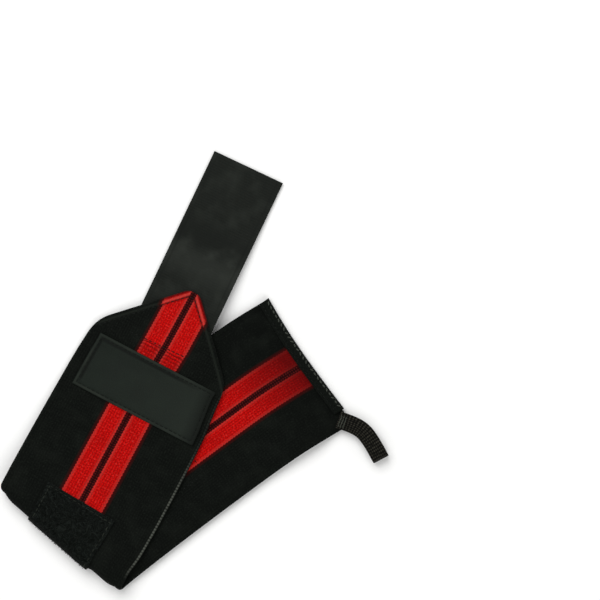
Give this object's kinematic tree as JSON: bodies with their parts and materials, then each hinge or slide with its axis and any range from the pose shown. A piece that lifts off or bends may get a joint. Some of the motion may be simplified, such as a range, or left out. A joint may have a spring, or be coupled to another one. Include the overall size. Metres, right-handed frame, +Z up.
{
  "type": "wrist wrap",
  "caption": "Elastic weightlifting wrist wrap with woven stripes, lying folded once, with a hook tab at its pointed end, a loop patch, a bare label and a thumb loop.",
  "frame": {"origin": "middle of the folded wrap's footprint, on the floor", "axes": "+Y along the upper layer towards the hook tab, +X towards the bound end and the thumb loop, +Z up out of the strap's front face"},
  "size_m": [0.159, 0.2114, 0.011],
  "materials": {
    "elastic_webbing": "ribbed black weave with two red stripes, matt",
    "hook_tape": "close black nylon weave, slight sheen",
    "label_tape": "smooth black weave, slight sheen",
    "loop_tape": "black pile, matt",
    "binding_tape": "black tape, matt",
    "loop_elastic": "black elastic, matt"
  },
  "bodies": {
    "root": {"elastic_strap": "elastic_webbing", "hook_tab": "hook_tape", "label_patch": "label_tape", "loop_patch": "loop_tape", "end_binding": "binding_tape", "thumb_loop": "loop_elastic"}
  },
  "joints": []
}
